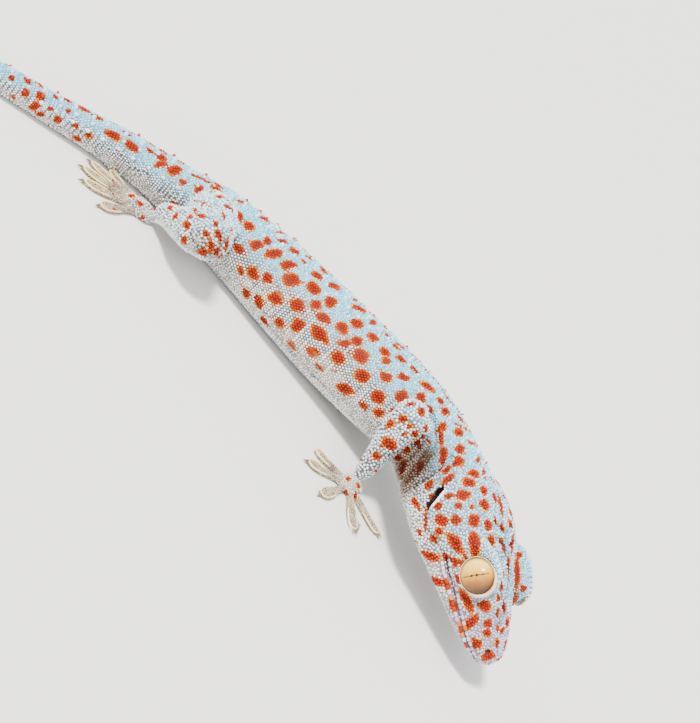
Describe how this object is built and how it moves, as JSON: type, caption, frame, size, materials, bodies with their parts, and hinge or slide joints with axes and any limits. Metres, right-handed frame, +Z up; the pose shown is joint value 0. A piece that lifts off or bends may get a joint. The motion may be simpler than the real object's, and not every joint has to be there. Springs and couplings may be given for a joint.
{
  "type": "tokay gecko",
  "caption": "Life-size tokay gecko lying on the floor, trunk gently bowed, head lowered and turned to its right, tail swept to the same side, toes spread.",
  "frame": {"origin": "on the floor under the belly, on the small flat that the belly rests on", "axes": "+Z up; +X along the trunk towards the shoulders and the head; +Y to the animal's left"},
  "size_m": [0.1827, 0.1531, 0.0253],
  "materials": {
    "skin": "matte",
    "eye": "gloss"
  },
  "bodies": {
    "root": {"head": "skin", "neck": "skin", "torso": "skin", "tail_base": "skin", "tail_mid": "skin", "tail_end": "skin", "upper_arm_right": "skin", "forearm_right": "skin", "hand_right": "skin", "thigh_right": "skin", "shank_right": "skin", "foot_right": "skin", "upper_arm_left": "skin", "forearm_left": "skin", "hand_left": "skin", "thigh_left": "skin", "shank_left": "skin", "foot_left": "skin", "finger_right_1": "skin", "finger_right_2": "skin", "finger_right_3": "skin", "finger_right_4": "skin", "finger_right_5": "skin", "finger_left_1": "skin", "finger_left_2": "skin", "finger_left_3": "skin", "finger_left_4": "skin", "finger_left_5": "skin", "toe_right_1": "skin", "toe_right_2": "skin", "toe_right_3": "skin", "toe_right_4": "skin", "toe_right_5": "skin", "toe_left_1": "skin", "toe_left_2": "skin", "toe_left_3": "skin", "toe_left_4": "skin", "toe_left_5": "skin", "eye_left": "eye", "eye_right": "eye"}
  },
  "joints": []
}
